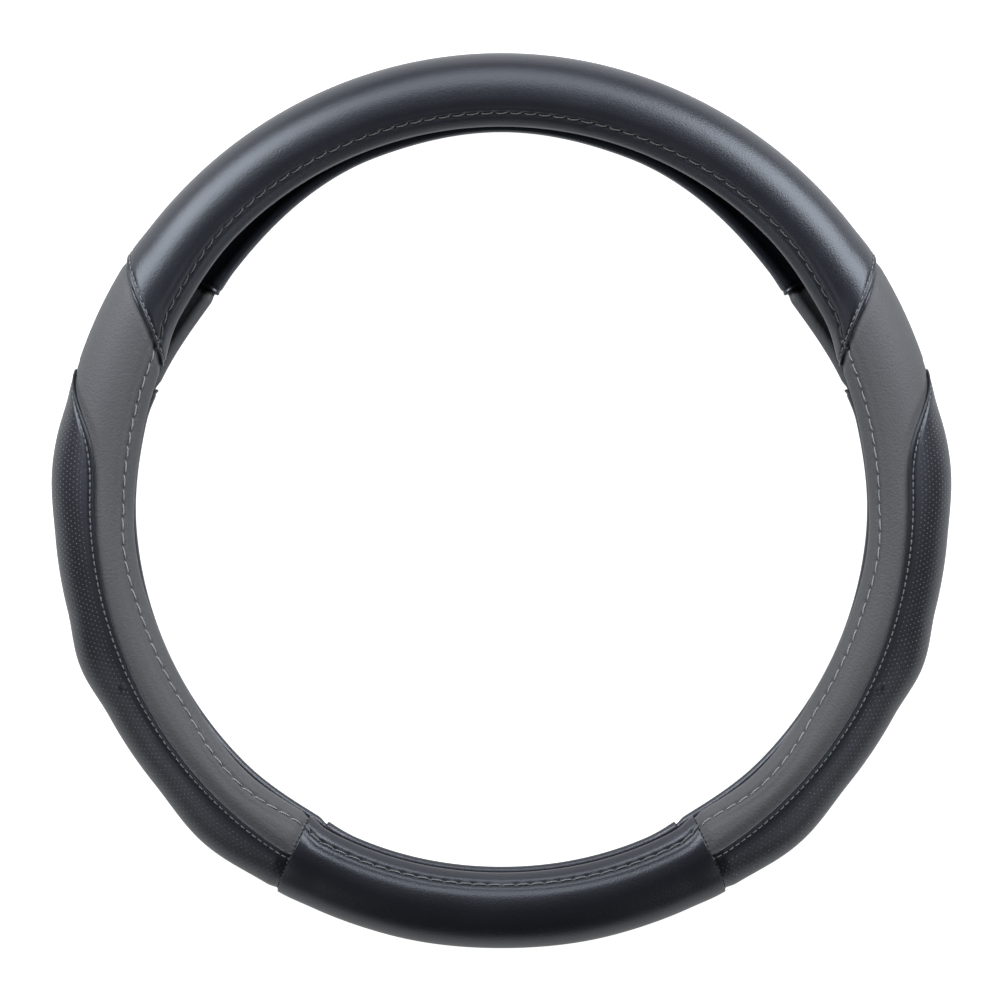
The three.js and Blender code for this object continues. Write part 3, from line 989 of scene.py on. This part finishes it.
class COVER_OT_grip_panels(Operator):
    """Lays the perforated panels round the outer edge and the rear, and punches them"""
    bl_idname = "cover.grip_panels"
    bl_label = "Grip Panels"

    def execute(self, context):
        lap = [from_sweep(x) for x in (0, 0.25, 0.55, 0.9, 1.3, 1.75, 2.2, 2.6, 3, 3.4, 3.9)]
        lattice = [from_back(HOLE_START + HOLE_PITCH * k) for k in range(HOLE_COLUMNS)][::-1]
        flange = [from_back(x) for x in FLANGE[::-1] if x < HOLE_START]
        columns = lap + lattice + flange + back_edge[len(FLANGE):]
        first, wide = len(lap), len(lattice)
        start = [row(SIDE_MARK, x) for x in (0, 0.35, 0.7, 1.1, 1.6, 2.1, 2.6, 3.1)]
        punched = rows_between(row(SIDE_MARK, 3.7), row(BOTTOM_MARK, -1), HOLE_ROWS)
        rows = start + punched + [row(BOTTOM_MARK, x) for x in (0, 2, LAP)]
        row_number, column_number = np.indices((len(rows), len(columns)))
        holes = ((row_number + column_number) % 2 == 0) & (column_number >= first) & (
            column_number < first + wide) & (row_number >= len(start)) & (
            row_number < len(start) + len(punched) - 1)
        crop = range(first, first + wide)
        left = laid_face(columns, mirrored(rows), grip_lift, crop=crop, holes=holes[::-1])
        right = laid_face(columns, rows, grip_lift, crop=crop, holes=holes)
        panel("left_grip_panel", left, grip_material())
        panel("right_grip_panel", right, grip_material())
        return {"FINISHED"}


class COVER_OT_stitches(Operator):
    """Sews the lips and the seams"""
    bl_idname = "cover.stitches"
    bl_label = "Stitches"

    def execute(self, context):
        colours = context.scene.cover_colours
        dark = thread_material("thread_on_black_looks", colours.dark_thread)
        light = thread_material("thread_on_grey_looks", colours.light_thread)
        # The seams' thread is lighter than the thread on black: its colour plus a painted glint
        seam = thread_material("thread_and_painted_glint_looks", colours.seam_thread_and_glint)
        for name in STITCH_ROWS:
            points, shade, centres = sewn_row(name)
            own = dark if "lip" in name or "bottom" in name else seam
            piece = finished(thread_mesh(points), name + "_stitches", own)
            piece.data.materials.append(light)
            # Slot 2 also gives the lips on the bottom panel the lighter thread, as a painted
            # highlight
            piece.data.materials.append(seam)
            tree = nearest_of(centres)
            for polygon in piece.data.polygons:
                polygon.material_index = int(shade[tree.find(polygon.center)[1]])
        return {"FINISHED"}


# Stage
def lay_floor(scene):
    """A white floor that looks lit to the camera and lights the cover a little less"""
    bm = bmesh.new()
    bmesh.ops.create_grid(bm, x_segments=1, y_segments=1, size=4.0)
    mesh = bpy.data.meshes.new("floor")
    bm.to_mesh(mesh)
    bm.free()
    floor = bpy.data.objects.new("floor", mesh)
    scene.collection.objects.link(floor)
    pale, tree, shader = new_material("pale_floor")
    shader.inputs["Base Color"].default_value = rgba(scene.cover_colours.floor)
    shader.inputs["Roughness"].default_value = 0.9
    shader.inputs["Specular IOR Level"].default_value = 0.1
    shader.inputs["Emission Color"].default_value = (1, 1, 1, 1)
    seen = tree.nodes.new("ShaderNodeLightPath").outputs["Is Camera Ray"]
    tree.links.new(maths(tree, "MULTIPLY_ADD", seen, 0.4, 0.6),
                   shader.inputs["Emission Strength"])
    mesh.materials.append(pale)


def hang_lamps(scene, centre):
    for name, azimuth, tilt, far, wide, power in LAMPS:
        light = bpy.data.lights.new(name, "AREA")
        light.shape = "DISK"
        light.size = wide
        light.energy = power
        light.color = DAYLIGHT
        lamp = bpy.data.objects.new(name, light)
        a, e = radians(azimuth), radians(tilt)
        lamp.location = centre + far * Vector((sin(a) * sin(e), cos(a) * sin(e), cos(e)))
        lamp.rotation_euler = (lamp.location - centre).to_track_quat("Z", "Y").to_euler()
        scene.collection.objects.link(lamp)


class COVER_OT_stage(Operator):
    """Sets the floor, the soft lights and the camera"""
    bl_idname = "cover.stage"
    bl_label = "Stage"

    def execute(self, context):
        scene = context.scene
        scene.view_settings.view_transform = "Standard"
        lay_floor(scene)
        world = bpy.data.worlds.new("studio")
        world.use_nodes = True
        sky = world.node_tree.nodes["Background"]
        sky.inputs["Color"].default_value = rgba(DAYLIGHT)
        sky.inputs["Strength"].default_value = 0.04
        scene.world = world
        hang_lamps(scene, Vector((0, 0, REST / 1000)))
        camera = bpy.data.objects.new("camera", bpy.data.cameras.new("camera"))
        camera.data.lens = SENSOR * CAMERA_FAR / PICTURE_WIDTH
        camera.data.sensor_width = SENSOR
        camera.data.clip_end = 20
        camera.location = (-0.00065, 0.00022, REST / 1000 + CAMERA_FAR)
        scene.collection.objects.link(camera)
        scene.camera = camera
        return {"FINISHED"}


OPERATORS = (COVER_OT_ring, COVER_OT_black_panels, COVER_OT_grey_panels, COVER_OT_grip_panels,
             COVER_OT_stitches, COVER_OT_stage)


class COVER_PT_sidebar(Panel):
    """Lists the pieces of the cover with their sizes and colours"""
    bl_idname = "COVER_PT_sidebar"
    bl_label = "Steering Wheel Cover"
    bl_space_type = "VIEW_3D"
    bl_region_type = "UI"
    bl_category = "Cover"

    def draw(self, context):
        for operator in OPERATORS:
            self.layout.operator(operator.bl_idname)
        for group in (context.scene.cover_sizes, context.scene.cover_colours):
            column = self.layout.column()
            for name in group.__annotations__:
                column.prop(group, name)


CLASSES = (CoverSizes, CoverColours, *OPERATORS, COVER_PT_sidebar)


def register():
    for cls in CLASSES:
        bpy.utils.register_class(cls)
    bpy.types.Scene.cover_sizes = PointerProperty(type=CoverSizes)
    bpy.types.Scene.cover_colours = PointerProperty(type=CoverColours)


def unregister():
    del bpy.types.Scene.cover_sizes
    del bpy.types.Scene.cover_colours
    for cls in reversed(CLASSES):
        bpy.utils.unregister_class(cls)


def main():
    register()
    bpy.ops.cover.ring()
    bpy.ops.cover.black_panels()
    bpy.ops.cover.grey_panels()
    bpy.ops.cover.grip_panels()
    bpy.ops.cover.stitches()
    bpy.ops.cover.stage()
    bpy.context.view_layer.update()


if __name__ == "__main__":
    main()
